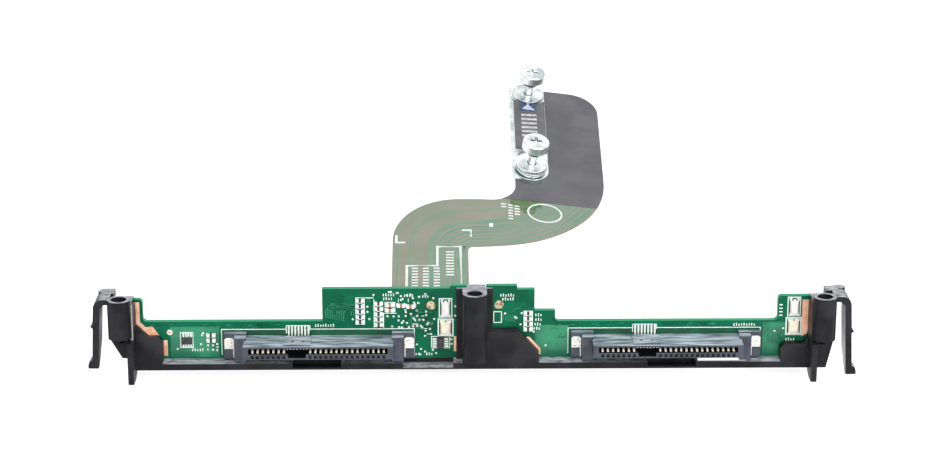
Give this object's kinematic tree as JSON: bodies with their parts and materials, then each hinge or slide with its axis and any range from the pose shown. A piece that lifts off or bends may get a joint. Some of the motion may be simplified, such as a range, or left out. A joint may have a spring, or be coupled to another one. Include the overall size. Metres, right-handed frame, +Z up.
{
  "type": "drive backplane board",
  "caption": "Long printed board upright in a moulded bracket with bored posts and latch arms, drive receptacles, and a flexible tail to a screw-down connector.",
  "frame": {"origin": "on the centre post's bore axis, level with the underside of the bracket's ledge", "axes": "+X along the board to the right, +Y back from the drives, +Z up along the posts"},
  "size_m": [0.1865, 0.1202, 0.0526],
  "materials": {
    "bracket": "fine moulded texture",
    "laminate": "solder mask over glass laminate",
    "copper": "bare copper",
    "gold": "gold plate",
    "receptacle": "moulded",
    "tin": "tin plate",
    "clear_lamp": "clear resin",
    "amber_lamp": "tinted resin",
    "package": "moulded package",
    "resistor": "chip part",
    "capacitor": "chip part",
    "flex": "polyimide over traces",
    "film": "dark film",
    "plate": "bright",
    "label": "printed film",
    "screw": "bright",
    "collar": "moulded"
  },
  "bodies": {
    "base": {"bracket": "bracket", "main_board": "laminate", "ground_lands": "copper", "test_lands": "gold", "left_drive_housing": "receptacle", "right_drive_housing": "receptacle", "left_main_contacts": "gold", "right_main_contacts": "gold", "left_upper_contacts": "gold", "right_upper_contacts": "gold", "left_hold_downs": "tin", "right_hold_downs": "tin", "left_clear_lamp": "clear_lamp", "right_clear_lamp": "clear_lamp", "left_amber_lamp": "amber_lamp", "right_amber_lamp": "amber_lamp", "left_driver_chip": "package", "center_driver_chip": "package", "chip_resistors": "resistor", "chip_capacitors": "capacitor", "flex_tail": "flex", "cover_film": "film", "backing_plate": "plate", "plate_label": "label", "end_board": "laminate", "mezzanine_housing": "receptacle", "mezzanine_contacts": "gold", "lower_ferrule": "screw", "upper_ferrule": "screw"},
    "lower_collar": {"lower_collar": "collar"},
    "lower_screw": {"lower_captive_screw": "screw"},
    "upper_collar": {"upper_collar": "collar"},
    "upper_screw": {"upper_captive_screw": "screw"}
  },
  "joints": [
    {"name": "lower_screw_press", "type": "slide", "parent": "base", "child": "lower_collar", "axis": [-0.1469, 0.3673, -0.9184], "range_m": [0, 0.003]},
    {"name": "lower_screw_turn", "type": "hinge", "parent": "lower_collar", "child": "lower_screw", "pos_m": [0.01669, 0.0788, 0.03061], "axis": [-0.1469, 0.3673, -0.9184], "continuous": true},
    {"name": "upper_screw_press", "type": "slide", "parent": "base", "child": "upper_collar", "axis": [-0.1469, 0.3673, -0.9184], "range_m": [0, 0.003]},
    {"name": "upper_screw_turn", "type": "hinge", "parent": "upper_collar", "child": "upper_screw", "pos_m": [0.01669, 0.1086, 0.04253], "axis": [-0.1469, 0.3673, -0.9184], "continuous": true}
  ]
}
